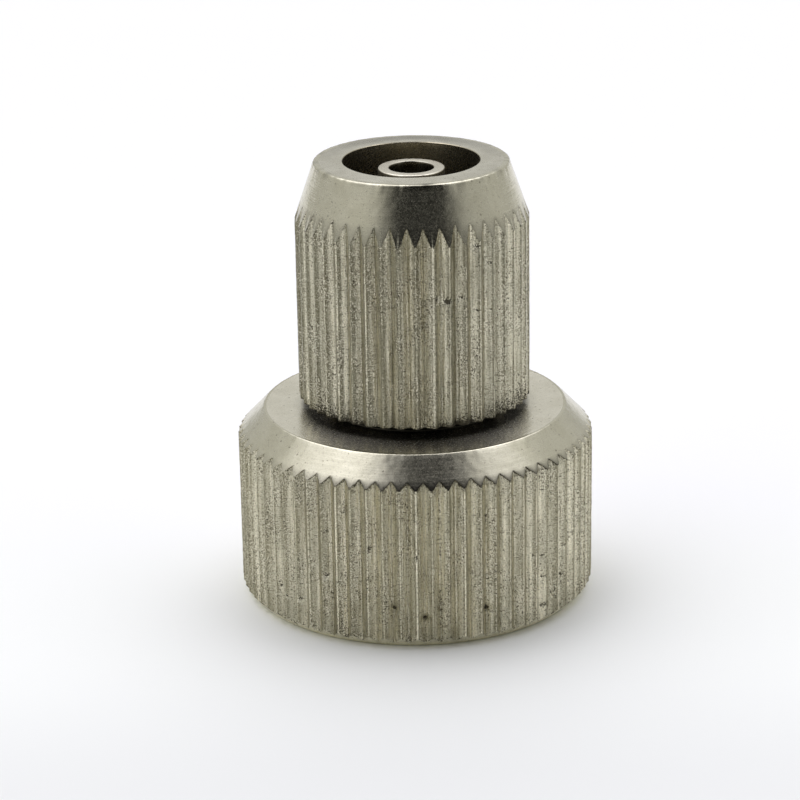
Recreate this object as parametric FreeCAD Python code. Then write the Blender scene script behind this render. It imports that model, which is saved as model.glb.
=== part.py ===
import FreeCAD, Part
import math
import os

# Hose connector of turned, plated brass, in millimetres.
# The origin is the centre of the union nut's base, and +Z is the common axis of all pieces.
# Upper case names are sizes, and heights are measured from the base unless a comment says otherwise.

# Union nut: outside
UNION_DIAMETER = 18.5
UNION_HEIGHT = 10.0
UNION_TOP_CHAMFER = 1.4
UNION_FOOT_CHAMFER = 0.6
UNION_TEETH = 70
UNION_KNURL_DEPTH = 0.33
UNION_TURN = -0.27
TOP_EDGE_BEVEL = 0.08

# Union nut: inside, from the base upwards
UNION_TAP_DIAMETER = 11.8
UNION_THREAD_MAJOR = 13.157
UNION_THREAD_LENGTH = 4.6
MOUTH_CHAMFER_ANGLE = 45.0

# Flat washer that snaps in the groove behind the union nut's thread
WASHER_THICKNESS = 1.5
WASHER_HOLE = 6.0
WASHER_LIP = 0.5
WASHER_PLAY = 0.1

# Clearances between pieces that turn or slide on each other
RUNNING_GAP = 0.05
FLANGE_PLAY = 0.2

# Nipple flange, held between the washer and the union nut's shoulder
FLANGE_THICKNESS = 1.4

# Thread between the nipple and the clamp nut, shown as plain cylinders at the pitch diameter
CLAMP_THREAD_MAJOR = 9.0
CLAMP_THREAD_PITCH = 0.75
PITCH_DIAMETER_RATIO = 0.6495
THREAD_DEPTH_RATIO = 0.6134
CLAMP_THREAD_LENGTH = 5.4
NIPPLE_THREAD_LENGTH = 4.6

# Nipple above the union nut
NECK_LAND = 0.1
NECK_PROUD = 0.1
RELIEF_LENGTH = 0.9
THREAD_CHAMFER = 0.35
NIPPLE_CONE_BASE = 6.2
NIPPLE_CONE_LENGTH = 2.6
SPIGOT_DIAMETER = 3.4
SPIGOT_BORE = 2.3
SPIGOT_TIP_DEPTH = 0.4
SPIGOT_TIP_BEVEL = 0.25
BORE_EDGE_CHAMFER = 0.1
BORE_ENTRY_CHAMFER = 0.6

# Clamp nut
NUT_GAP = 0.6
CLAMP_DIAMETER = 12.0
CLAMP_HEIGHT = 12.4
CLAMP_NOSE_HEIGHT = 2.85
CLAMP_NOSE_ANGLE = 20.0
CLAMP_TEETH = 44
CLAMP_KNURL_DEPTH = 0.31
CLAMP_TURN = 1.3
CLAMP_FOOT_CHAMFER = 0.1
CLAMP_MOUTH = 7.0
RIM_BEVEL = 0.12
RIM_INNER_BEVEL = 0.1
CHAMBER_LENGTH = 0.8
CLAMP_CONE_LENGTH = 1.6

# Straight knurl: V grooves whose sharp ridges are cut off by the turned outline.
# The turns above are the angles, in degrees, of one ridge from the front at -Y.
KNURL_ANGLE = 97.0

# Heights worked out from the sizes above
washer_bottom = UNION_THREAD_LENGTH
washer_top = washer_bottom + WASHER_THICKNESS
groove_top = washer_top + WASHER_PLAY
flange_bottom = washer_top + RUNNING_GAP
flange_top = flange_bottom + FLANGE_THICKNESS
shoulder_height = flange_top + RUNNING_GAP
neck_top = UNION_HEIGHT + NECK_PROUD
nipple_thread_bottom = neck_top + RELIEF_LENGTH
nipple_thread_top = nipple_thread_bottom + NIPPLE_THREAD_LENGTH
nipple_cone_bottom = nipple_thread_top
nipple_cone_top = nipple_cone_bottom + NIPPLE_CONE_LENGTH
clamp_bottom = UNION_HEIGHT + NUT_GAP
clamp_thread_top = clamp_bottom + CLAMP_THREAD_LENGTH
chamber_top = clamp_thread_top + CHAMBER_LENGTH
clamp_cone_top = chamber_top + CLAMP_CONE_LENGTH
clamp_nose_bottom = clamp_bottom + CLAMP_HEIGHT - CLAMP_NOSE_HEIGHT
rim_height = clamp_bottom + CLAMP_HEIGHT
spigot_top = rim_height - SPIGOT_TIP_DEPTH

# Radii worked out from the sizes above
tap_radius = UNION_TAP_DIAMETER / 2
mouth_radius = UNION_THREAD_MAJOR / 2 + RUNNING_GAP
washer_radius = tap_radius + WASHER_LIP
washer_groove_radius = washer_radius + WASHER_PLAY
flange_radius = tap_radius - FLANGE_PLAY
neck_radius = CLAMP_THREAD_MAJOR / 2 + NECK_LAND
neck_hole_radius = neck_radius + RUNNING_GAP
clamp_pitch_radius = (CLAMP_THREAD_MAJOR - PITCH_DIAMETER_RATIO * CLAMP_THREAD_PITCH) / 2
male_thread_radius = clamp_pitch_radius - RUNNING_GAP / 2
female_thread_radius = clamp_pitch_radius + RUNNING_GAP / 2
thread_root_radius = CLAMP_THREAD_MAJOR / 2 - THREAD_DEPTH_RATIO * CLAMP_THREAD_PITCH
chamber_radius = thread_root_radius + RUNNING_GAP
rim_radius = CLAMP_DIAMETER / 2 - CLAMP_NOSE_HEIGHT * math.tan(math.radians(CLAMP_NOSE_ANGLE))

AXIS_POINT = FreeCAD.Vector(0, 0, 0)
AXIS = FreeCAD.Vector(0, 0, 1)


def turned(corners):
    """Solid of revolution about the axis, from (radius, height) or (radius, height, bevel) corners."""
    points = [FreeCAD.Vector(corner[0], 0, corner[1]) for corner in corners]
    outline = []
    for index, corner in enumerate(corners):
        here = points[index]
        if len(corner) == 2:
            outline.append(here)
            continue
        bevel = corner[2]
        back = (points[index - 1] - here).normalize()
        ahead = (points[(index + 1) % len(points)] - here).normalize()
        outline.append(here + back * bevel)
        outline.append(here + ahead * bevel)
    outline.append(outline[0])
    return Part.Face(Part.makePolygon(outline)).revolve(AXIS_POINT, AXIS, 360)


def knurl_prism(diameter, teeth, depth, turn, bottom, top):
    """Prism with a ring of V grooves whose sharp ridges stand outside the diameter."""
    half_pitch = math.pi / teeth
    flank = math.radians(KNURL_ANGLE / 2)
    root_radius = diameter / 2 - depth
    ridge_radius = root_radius * math.sin(flank) / math.sin(flank - half_pitch)
    outline = []
    for tooth in range(teeth):
        ridge_angle = math.radians(turn - 90) + 2 * half_pitch * tooth
        root_angle = ridge_angle + half_pitch
        for radius, angle in ((ridge_radius, ridge_angle), (root_radius, root_angle)):
            outline.append(FreeCAD.Vector(radius * math.cos(angle), radius * math.sin(angle), bottom))
    outline.append(outline[0])
    return Part.Face(Part.makePolygon(outline)).extrude(AXIS * (top - bottom))


def union_nut():
    """Knurled nut with a tapped mouth, a washer groove and an inward shoulder for the flange."""
    outer = UNION_DIAMETER / 2
    top_edge = outer - UNION_TOP_CHAMFER
    mouth_depth = (mouth_radius - tap_radius) / math.tan(math.radians(MOUTH_CHAMFER_ANGLE))
    blank = turned([
        (mouth_radius, 0),
        (outer - UNION_FOOT_CHAMFER, 0),
        (outer, UNION_FOOT_CHAMFER),
        (outer, UNION_HEIGHT - UNION_TOP_CHAMFER),
        (top_edge, UNION_HEIGHT, TOP_EDGE_BEVEL),
        (neck_hole_radius, UNION_HEIGHT),
        (neck_hole_radius, shoulder_height),
        (tap_radius, shoulder_height),
        (tap_radius, groove_top),
        (washer_groove_radius, groove_top),
        (washer_groove_radius, washer_bottom),
        (tap_radius, washer_bottom),
        (tap_radius, mouth_depth),
    ])
    depth = UNION_KNURL_DEPTH
    knurl = knurl_prism(UNION_DIAMETER, UNION_TEETH, depth, UNION_TURN, 0, UNION_HEIGHT)
    return blank.common(knurl)


def sealing_washer():
    """Flat ring that lies on the lower lip of the union nut's groove."""
    return turned([
        (WASHER_HOLE / 2, washer_bottom),
        (washer_radius, washer_bottom),
        (washer_radius, washer_top),
        (WASHER_HOLE / 2, washer_top),
    ])


def hose_nipple():
    """Flange, neck, male thread, clamping cone and spigot on one through bore."""
    bore = SPIGOT_BORE / 2
    spigot = SPIGOT_DIAMETER / 2
    return turned([
        (bore + BORE_ENTRY_CHAMFER, flange_bottom),
        (flange_radius, flange_bottom),
        (flange_radius, flange_top),
        (neck_radius, flange_top),
        (neck_radius, neck_top),
        (thread_root_radius, neck_top),
        (thread_root_radius, nipple_thread_bottom),
        (male_thread_radius, nipple_thread_bottom),
        (male_thread_radius, nipple_thread_top - THREAD_CHAMFER),
        (male_thread_radius - THREAD_CHAMFER, nipple_thread_top),
        (NIPPLE_CONE_BASE / 2, nipple_cone_bottom),
        (spigot, nipple_cone_top),
        (spigot, spigot_top, SPIGOT_TIP_BEVEL),
        (bore + BORE_EDGE_CHAMFER, spigot_top),
        (bore, spigot_top - BORE_EDGE_CHAMFER),
        (bore, flange_bottom + BORE_ENTRY_CHAMFER),
    ])


def clamp_nut():
    """Slim knurled nut with a conical nose, a tapped bore and an inner cone that grips the hose."""
    outer = CLAMP_DIAMETER / 2
    mouth = CLAMP_MOUTH / 2
    blank = turned([
        (female_thread_radius + THREAD_CHAMFER, clamp_bottom),
        (outer - CLAMP_FOOT_CHAMFER, clamp_bottom),
        (outer, clamp_bottom + CLAMP_FOOT_CHAMFER),
        (outer, clamp_nose_bottom),
        (rim_radius, rim_height, RIM_BEVEL),
        (mouth, rim_height, RIM_INNER_BEVEL),
        (mouth, clamp_cone_top),
        (chamber_radius, chamber_top),
        (chamber_radius, clamp_thread_top),
        (female_thread_radius, clamp_thread_top),
        (female_thread_radius, clamp_bottom + THREAD_CHAMFER),
    ])
    depth = CLAMP_KNURL_DEPTH
    knurl = knurl_prism(CLAMP_DIAMETER, CLAMP_TEETH, depth, CLAMP_TURN, clamp_bottom, rim_height)
    return blank.common(knurl)


def one_solid(shape):
    """The single solid of a shape, or the shape as it is where it holds more."""
    if len(shape.Solids) == 1:
        return shape.Solids[0]
    return shape


PIECES = {
    "union_nut": union_nut,
    "sealing_washer": sealing_washer,
    "hose_nipple": hose_nipple,
    "clamp_nut": clamp_nut,
}

os.makedirs("parts", exist_ok=True)
for name, build in PIECES.items():
    solid = one_solid(build())
    box = solid.BoundBox
    print(name, "solids", len(solid.Solids), "valid", solid.isValid(), "volume", round(solid.Volume, 2),
          "z", round(box.ZMin, 3), round(box.ZMax, 3), "x", round(box.XMin, 3), round(box.XMax, 3))
    solid.exportStep("parts/" + name + ".step")
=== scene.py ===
import math
import bmesh
import bpy
import numpy as np
from mathutils import Matrix, Vector


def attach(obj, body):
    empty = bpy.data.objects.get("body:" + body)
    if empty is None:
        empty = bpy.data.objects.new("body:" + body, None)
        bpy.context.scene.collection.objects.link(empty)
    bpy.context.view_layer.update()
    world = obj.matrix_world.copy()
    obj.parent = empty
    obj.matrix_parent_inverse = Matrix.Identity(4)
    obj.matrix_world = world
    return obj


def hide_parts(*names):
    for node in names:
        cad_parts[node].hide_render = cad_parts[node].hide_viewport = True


# Looks of the hose connector. Sizes named here are in millimetres, and the meshes are in metres.
# Angles round the axis are in degrees from the front, where the camera stands, at -Y.
MM = 0.001

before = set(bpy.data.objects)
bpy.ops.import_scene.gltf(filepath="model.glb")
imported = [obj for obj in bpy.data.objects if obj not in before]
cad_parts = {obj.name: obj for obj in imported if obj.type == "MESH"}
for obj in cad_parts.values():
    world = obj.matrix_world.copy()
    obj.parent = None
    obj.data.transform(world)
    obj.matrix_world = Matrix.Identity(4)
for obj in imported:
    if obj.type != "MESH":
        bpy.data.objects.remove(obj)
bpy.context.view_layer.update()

# Camera, with its elevation, roll and yaw in radians and its clipping distances in metres

FOCAL_PIXELS = 2882.4
PICTURE_PIXELS = 800
CAMERA_ELEVATION = 0.343533
CAMERA_ROLL = -0.0148
CAMERA_YAW = -0.0051
CAMERA_DISTANCE = 150.26
CAMERA_TARGET_HEIGHT = 10.07
SENSOR_WIDTH = 36.0
CLIP_START = 0.005
CLIP_END = 10


def make_camera():
    """Camera that looks down at the axis from the front, with a slight roll and yaw."""
    back = Vector((0, -math.cos(CAMERA_ELEVATION), math.sin(CAMERA_ELEVATION)))
    target = Vector((0, 0, CAMERA_TARGET_HEIGHT))
    forward = -back
    right = Vector((1, 0, 0))
    up = right.cross(forward)
    turned_forward = math.cos(CAMERA_YAW) * forward + math.sin(CAMERA_YAW) * right
    turned_right = math.cos(CAMERA_YAW) * right - math.sin(CAMERA_YAW) * forward
    camera_x = math.cos(CAMERA_ROLL) * turned_right + math.sin(CAMERA_ROLL) * up
    camera_y = math.cos(CAMERA_ROLL) * up - math.sin(CAMERA_ROLL) * turned_right
    data = bpy.data.cameras.new("camera")
    data.sensor_width = SENSOR_WIDTH
    data.lens = FOCAL_PIXELS * SENSOR_WIDTH / PICTURE_PIXELS
    data.clip_start = CLIP_START
    data.clip_end = CLIP_END
    camera = bpy.data.objects.new("camera", data)
    bpy.context.scene.collection.objects.link(camera)
    turn = Matrix((camera_x, camera_y, -turned_forward)).transposed()
    place = (target + CAMERA_DISTANCE * back) * MM
    camera.matrix_world = Matrix.Translation(place) @ turn.to_4x4()
    bpy.context.scene.camera = camera


make_camera()

# Sealing washer and the clearance that pieces turn and screw with

RUNNING_GAP = 0.05
WASHER_HOLE_RADIUS = 3.0
WASHER_RADIUS = 6.4
WASHER_BOTTOM = 4.6
WASHER_TOP = 6.1
WASHER_ROUNDING = 0.15
WASHER_POINTS = 192

# Nipple: flange and neck, thread, clamping cone and spigot. A thread's rows are those of one turn.

FLANGE_RADIUS = 5.7
FLANGE_BOTTOM = WASHER_TOP + RUNNING_GAP
FLANGE_TOP = 7.55
FLANGE_ROUNDING = 0.1
NECK_RADIUS = 4.6
NECK_TOP = 10.1
NECK_ROUNDING = 0.08
NECK_SHADE_HEIGHT = 9.0
CLAMP_THREAD_RADIUS = 4.5
CLAMP_THREAD_ROOT = 4.04
CLAMP_THREAD_PITCH = 0.75
THREAD_CREST_SHARE = 0.125
THREAD_ROOT_SHARE = 0.167
CLAMP_THREAD_ROWS = 10
THREAD_CHAMFER = 0.35
THREAD_END_CUT = 0.12
NIPPLE_POINTS = 256
NIPPLE_THREAD_BOTTOM = 11.0
NIPPLE_THREAD_TOP = 15.6
NIPPLE_CONE_RADIUS = 3.1
NIPPLE_CONE_TOP = 18.2
SPIGOT_RADIUS = 1.7
SPIGOT_MIDDLE = 20.4
SPIGOT_TOP = 22.6
SPIGOT_ROUNDING = 0.08
BORE_RADIUS = 1.15
BORE_EDGE_RADIUS = 1.17
BORE_EDGE_ROUNDING = 0.015
BORE_HEIGHTS = (22.56, 22.4, 14.0, 6.75)
BORE_SHADE = 0.7
BORE_ENTRY_RADIUS = 1.75
BORE_ENTRY_ROUNDING = 0.04

# Union nut. Every eighth column of the knurl goes on into the faces that have none.

UNION_SEED = 72
UNION_RADIUS = 9.25
UNION_HEIGHT = 10.0
UNION_TOP_CHAMFER = 1.4
UNION_TOP_RADIUS = UNION_RADIUS - UNION_TOP_CHAMFER
UNION_CHAMFER_HEIGHT = 1.44
UNION_TOP_SLOPE = UNION_CHAMFER_HEIGHT / UNION_TOP_CHAMFER
UNION_CHAMFER_RADII = (8.86, 8.7, 8.45, 8.2)
UNION_EDGE_STEP = 0.15
UNION_EDGE_ROUNDING = 0.05
UNION_EDGE_WEAR = 0.010
UNION_FOOT_CHAMFER = 0.6
UNION_FOOT_RADIUS = UNION_RADIUS - UNION_FOOT_CHAMFER
UNION_TEETH = 70
UNION_TURN = -0.27
UNION_COARSE = 8
NECK_HOLE_RADIUS = NECK_RADIUS + RUNNING_GAP
NECK_HOLE_EDGE = 0.1
SHOULDER_HEIGHT = FLANGE_TOP + RUNNING_GAP
TAP_RADIUS = 5.9
GROOVE_RADIUS = 6.5
GROOVE_TOP = 6.2
GROOVE_BOTTOM = WASHER_BOTTOM
GROOVE_ROUNDING = 0.05
GROOVE_LIP = 0.02
PIPE_THREAD_RADIUS = 6.5785
PIPE_THREAD_PITCH = 1.337
PIPE_THREAD_ROWS = 12
PIPE_CREST_SHARE = 0.16
PIPE_ROOT_SHARE = 0.32
MOUTH_RADIUS = PIPE_THREAD_RADIUS + RUNNING_GAP
MOUTH_RIM = 0.25
UNION_BASE_RADIUS = 7.4
UNION_BASE_FINE_RADII = (7.8, 8.3)

# Rings of the union nut's foot: how far each one stands out from the foot's radius, and its height
UNION_FOOT_STEPS = ((-0.02, 0.0), (0.005, 0.012), (0.14, 0.14))

# The union nut's flat top: where it starts inside the rounded edge, and its painted shade at each radius,
# darkest under the clamp nut
UNION_FACE_RADIUS = 7.76
UNION_FACE_SHADE = ((7.73, 0.0), (6.4, 0.0), (6.0, 0.15), (5.7, 0.9), (NECK_HOLE_RADIUS, 1.0))

# Painted shadow under the union nut's turned edge: where it is darkest, and its reach in radians
UNION_EDGE_SHADOW_ANGLE = 10.0
UNION_EDGE_SHADOW_REACH = 0.9

# Clamp nut. Every fourth column of the knurl goes on into the faces that have none.

CLAMP_SEED = 48
CLAMP_RADIUS = 6.0
CLAMP_BOTTOM = 10.6
CLAMP_NOSE_BOTTOM = 20.04
CLAMP_NOSE_HEIGHTS = (21.08, 21.3, 21.7, 22.1, 22.5)
CLAMP_FOOT_CHAMFER = 0.04
CLAMP_FOOT_RADIUS = CLAMP_RADIUS - CLAMP_FOOT_CHAMFER
CLAMP_FOOT_INSET = 0.01
CLAMP_TEETH = 44
CLAMP_TURN = 1.3
CLAMP_COARSE = 4
RIM_HEIGHT = 23.0
RIM_RADIUS = 4.963
NOSE_SLOPE = (RIM_HEIGHT - CLAMP_NOSE_BOTTOM) / (CLAMP_RADIUS - RIM_RADIUS)
RIM_EDGE_STEP = 0.3
RIM_ROUNDING = 0.1
RIM_WEAR = 0.016
RIM_WORN_RADIUS = 5.0
RIM_FACE_RADIUS = 4.72
RIM_FINE_RADIUS = 4.68
RIM_COARSE_RADIUS = 4.2
CLAMP_MOUTH_RADIUS = 3.5
CLAMP_MOUTH_BEVEL = 0.03
CLAMP_CONE_TOP = 18.4
CHAMBER_TOP = 16.8
CHAMBER_RADIUS = CLAMP_THREAD_ROOT + RUNNING_GAP
CLAMP_THREAD_TOP = 16.0
CLAMP_BASE_RADIUS = 4.9
CLAMP_BASE_FINE_RADIUS = 5.2

# The rim's edge is darkest near the front, with a reach in millimetres, and the mouth's painted shade is
# lightest at the back, with a reach in radians
RIM_WORN_ANGLE = 4.0
RIM_WORN_REACH = 0.85
MOUTH_LIT_ANGLE = 183.0
MOUTH_LIT_REACH = 0.75

# Dents in the knurled walls, chosen from the photo: angle, height, width and depth
UNION_DENTS = (
    (-7.5, 2.1, 0.19, 0.13), (2.5, 1.6, 0.18, 0.14), (22.8, 1.8, 0.2, 0.14), (44.8, 2.7, 0.16, 0.08),
    (54.1, 2.25, 0.2, 0.1), (43.0, 2.1, 0.19, 0.08), (45.0, 1.1, 0.17, 0.1), (44.7, 3.85, 0.15, 0.06),
    (40.0, 4.1, 0.14, 0.05), (55.2, 3.9, 0.15, 0.06), (59.7, 1.6, 0.16, 0.07), (32.5, 2.25, 0.14, 0.05),
    (27.4, 3.6, 0.13, 0.05), (-30.2, 3.55, 0.19, 0.09), (-35.3, 4.1, 0.15, 0.06),
    (-37.0, 3.85, 0.15, 0.07), (-40.7, 1.9, 0.18, 0.07), (-50.4, 2.15, 0.15, 0.06),
    (-46.6, 1.8, 0.15, 0.06), (-15.1, 5.32, 0.17, 0.07), (-0.1, 5.01, 0.13, 0.05),
    (14.4, 6.87, 0.13, 0.05), (-29.8, 5.95, 0.15, 0.06), (-22.2, 6.0, 0.15, 0.05),
    (118.0, 3.2, 0.2, 0.09), (171.0, 4.0, 0.18, 0.08), (-133.0, 2.5, 0.17, 0.09), (-101.0, 1.8, 0.2, 0.1),
)
CLAMP_DENTS = (
    (32.8, 19.8, 0.2, 0.1), (11.5, 17.3, 0.15, 0.1), (17.0, 17.15, 0.22, 0.16), (24.2, 17.25, 0.14, 0.07),
    (32.9, 16.45, 0.15, 0.07), (41.1, 16.35, 0.14, 0.07), (41.1, 15.35, 0.14, 0.06),
    (55.8, 16.5, 0.15, 0.06), (48.4, 16.2, 0.13, 0.05), (40.6, 18.8, 0.13, 0.06), (17.5, 18.85, 0.13, 0.06),
    (1.8, 18.95, 0.13, 0.07), (-6.1, 18.1, 0.12, 0.05), (-18.4, 17.3, 0.15, 0.06),
    (-34.2, 15.7, 0.13, 0.06), (-6.3, 15.35, 0.13, 0.06), (130.0, 18.0, 0.16, 0.09),
    (-150.0, 17.3, 0.16, 0.1),
)

# Dark stains in the knurled walls: angle, height, half width, half height and strength
UNION_STAINS = (
    (6.9, 2.3, 0.22, 0.9, 0.3), (-21.9, 2.3, 0.2, 0.8, 0.22), (-3.0, 0.7, 0.3, 0.5, 0.3),
    (-25.0, 0.8, 0.5, 0.5, 0.25), (55.0, 2.3, 0.5, 0.7, 0.22), (150.0, 1.5, 0.5, 0.8, 0.3),
    (-95.0, 1.2, 0.6, 0.7, 0.3), (80.0, 5.0, 0.3, 1.5, 0.2),
)
CLAMP_STAINS = (
    (-50.0, 10.8, 1.0, 0.45, 0.5), (-33.0, 10.7, 0.8, 0.4, 0.52), (24.0, 10.75, 0.9, 0.35, 0.48),
    (48.0, 10.9, 1.2, 0.55, 0.5), (68.0, 11.2, 1.0, 0.6, 0.45), (110.0, 10.8, 1.0, 0.5, 0.4),
    (175.0, 10.9, 1.3, 0.7, 0.45), (-110.0, 10.8, 1.2, 0.5, 0.4), (17.5, 17.1, 0.5, 0.5, 0.2),
    (-61.0, 15.0, 0.3, 2.0, 0.15),
)

# Knurl details: half width of a lip and of the groove's floor, deepest hollow between two lips,
# and how far the visible skin stays inside the turned outline
LIP_EDGE = 0.012
VALLEY_EDGE = 0.045
LIP_HOLLOW = 0.02
SKIN_GAP = 0.008

# Painted light and shade of each column of a tooth, from the middle of one ridge to the next, darkest just
# beside the ridges. A ridge has five columns.
UNION_TOOTH_LIGHT_AND_SHADE = (
    0.08, 0.14, 0.0, -0.55, -0.2, 0.04, 0.06, 0.0, -0.16, 0.02, 0.06, 0.06, -0.08, -0.5, -0.1, 0.05,
)
CLAMP_TOOTH_LIGHT_AND_SHADE = (
    -0.04, 0.08, 0.0, -0.8, -0.38, 0.02, 0.1, 0.0, -0.16, 0.02, 0.12, 0.14, -0.04, -0.5, -0.15, -0.05,
)
RIDGE_COLUMNS = 5

# Mesh tools

# Points closer than the merging distance, in metres, become one. A bend of more degrees than the sharp
# angle stays a sharp edge.
MERGE_DISTANCE = 2e-7
SHARP_ANGLE = 28


def turned_outline(corners, steps=3):
    """Points (radius, height) along a turned outline.

    A corner's third value is the length that its rounding takes from each side.
    """
    points = [np.array(corner[:2], float) for corner in corners]
    outline = []
    for index, corner in enumerate(corners):
        here = points[index]
        if len(corner) == 2:
            outline.append(here)
            continue
        back = points[index - 1] - here
        ahead = points[(index + 1) % len(points)] - here
        start = here + back / np.linalg.norm(back) * corner[2]
        end = here + ahead / np.linalg.norm(ahead) * corner[2]
        for step in range(steps + 1):
            share = step / steps
            outline.append((1 - share) ** 2 * start + 2 * share * (1 - share) * here + share * share * end)
    return outline


def ring(angles, radius, height, slot, dirt_and_shade=0.0, shade=0.5, climb=0):
    """Ring of points, with its material number, its looks and the rows that a helix climbs in a turn.

    Radius, height and the two looks are numbers or one value for each angle. The looks go from 0 to 1: the
    first is dirt and painted shade, the second paints light and shade.
    """
    radius = np.broadcast_to(radius, angles.shape)
    height = np.broadcast_to(height, angles.shape)
    points = np.stack([radius * np.cos(angles), radius * np.sin(angles), height], -1)
    looks = np.stack([np.broadcast_to(dirt_and_shade, angles.shape), np.broadcast_to(shade, angles.shape)], -1)
    return points, slot, looks, climb


def thread_radius(angles, height, pitch, crest, root, crest_share, root_share):
    """Radius of a right-hand thread, between the crest of a ridge and the root of a groove.

    The shares are the parts of the pitch that a crest and a root take.
    """
    phase = (height / pitch - angles / (2 * math.pi)) % 1.0
    from_crest = np.abs(phase - np.round(phase))
    flank = (from_crest - crest_share / 2) / (0.5 - crest_share / 2 - root_share / 2)
    return crest + (root - crest) * np.clip(flank, 0, 1)


def helix_rings(angles, bottom, top, pitch, rows_per_turn, radius_at, slot):
    """Rings that rise along a thread between two heights. The last column joins rows_per_turn rows higher."""
    rows = math.ceil((top - bottom) / pitch * rows_per_turn) + 2 * rows_per_turn
    rings = []
    for row in range(rows + 1):
        height = bottom - pitch + pitch * (row / rows_per_turn + (angles - angles[0]) / (2 * math.pi))
        height = np.clip(height, bottom, top)
        rings.append(ring(angles, radius_at(angles, height), height, slot, climb=rows_per_turn))
    return rings


def downwards(rings):
    """The rings of a helix from the top down."""
    return [(points, slot, looks, -climb) for points, slot, looks, climb in reversed(rings)]


def helix_row(climbs, index, climb):
    """Number of the helix ring that this ring's last column joins, at most one turn further."""
    row = index
    step = 1 if climb > 0 else -1
    while row != index + climb and 0 <= row + step < len(climbs) and climbs[row + step] == climb:
        row += step
    return row


def band_faces(first, first_count, second, second_count):
    """Faces between two rings that start at these vertex numbers.

    The rings have as many points as each other, or one has a multiple of the other's.
    """
    faces = []
    if first_count == second_count:
        for point in range(first_count):
            following = (point + 1) % first_count
            faces.append((first + point, first + following, second + following, second + point))
        return faces
    if first_count > second_count:
        share = first_count // second_count
        middle = (share + 1) // 2
        for point in range(second_count):
            low, high = second + point, second + (point + 1) % second_count
            fine = [first + (point * share + step) % first_count for step in range(share + 1)]
            for step in range(middle):
                faces.append((fine[step], fine[step + 1], low))
            faces.append((fine[middle], high, low))
            for step in range(middle, share):
                faces.append((fine[step], fine[step + 1], high))
        return faces
    for face in band_faces(second, second_count, first, first_count):
        faces.append(tuple(reversed(face)))
    return faces


def ring_mesh(name, rings, materials):
    """Closed mesh through rings of points."""
    counts = [len(points) for points, _, _, _ in rings]
    starts = [sum(counts[:index]) for index in range(len(rings))]
    climbs = [climb for _, _, _, climb in rings]
    faces = []
    slots = []
    for index, (_, slot, _, climb) in enumerate(rings):
        following = (index + 1) % len(rings)
        here, there = starts[index], starts[following]
        made = band_faces(here, counts[index], there, counts[following])
        if climb and climbs[following]:
            here_on = starts[helix_row(climbs, index, climb)]
            there_on = starts[helix_row(climbs, following, climb)]
            last = counts[index] - 1
            made[-1] = (here + last, here_on, there_on, there + last)
        faces += made
        slots += [slot] * len(made)
    mesh = bpy.data.meshes.new(name)
    mesh.from_pydata((np.concatenate([points for points, _, _, _ in rings]) * MM).tolist(), [], faces)
    for material in materials:
        mesh.materials.append(material)
    mesh.polygons.foreach_set("material_index", slots)
    looks = np.concatenate([looks for _, _, looks, _ in rings]).astype(np.float32)
    for column, look in enumerate(("dirt_and_shade", "shade")):
        mesh.attributes.new(look, "FLOAT", "POINT").data.foreach_set("value", looks[:, column].copy())
    work = bmesh.new()
    work.from_mesh(mesh)
    bmesh.ops.remove_doubles(work, verts=work.verts, dist=MERGE_DISTANCE)
    bmesh.ops.recalc_face_normals(work, faces=work.faces)
    work.to_mesh(mesh)
    work.free()
    mesh.shade_smooth()
    mesh.set_sharp_from_angle(angle=math.radians(SHARP_ANGLE))
    piece = bpy.data.objects.new(name, mesh)
    bpy.context.scene.collection.objects.link(piece)
    return piece


def eased(share):
    """Share from 0 to 1 with a soft start and end."""
    return share * share * (3 - 2 * share)


def grid_noise(random, across, along, angles, shares):
    """Smooth noise from -1 to 1, periodic round the axis, for every share of the height and every angle."""
    grid = random.uniform(-1, 1, (along + 2, across))
    round_place = (angles / (2 * math.pi) % 1.0) * across
    up_place = np.clip(shares, 0, 1) * along
    column = np.floor(round_place).astype(int) % across
    row = np.floor(up_place).astype(int)
    right = eased(round_place - np.floor(round_place))[None, :]
    upper = eased(up_place - np.floor(up_place))[:, None]
    following = (column + 1) % across
    low = grid[row][:, column] * (1 - right) + grid[row][:, following] * right
    high = grid[row + 1][:, column] * (1 - right) + grid[row + 1][:, following] * right
    return low * (1 - upper) + high * upper


def edge_noise(random, across, angles):
    """Smooth noise from -1 to 1 for every angle."""
    return grid_noise(random, across, 1, angles, np.zeros(1))[0]


# Knurled walls


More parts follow.
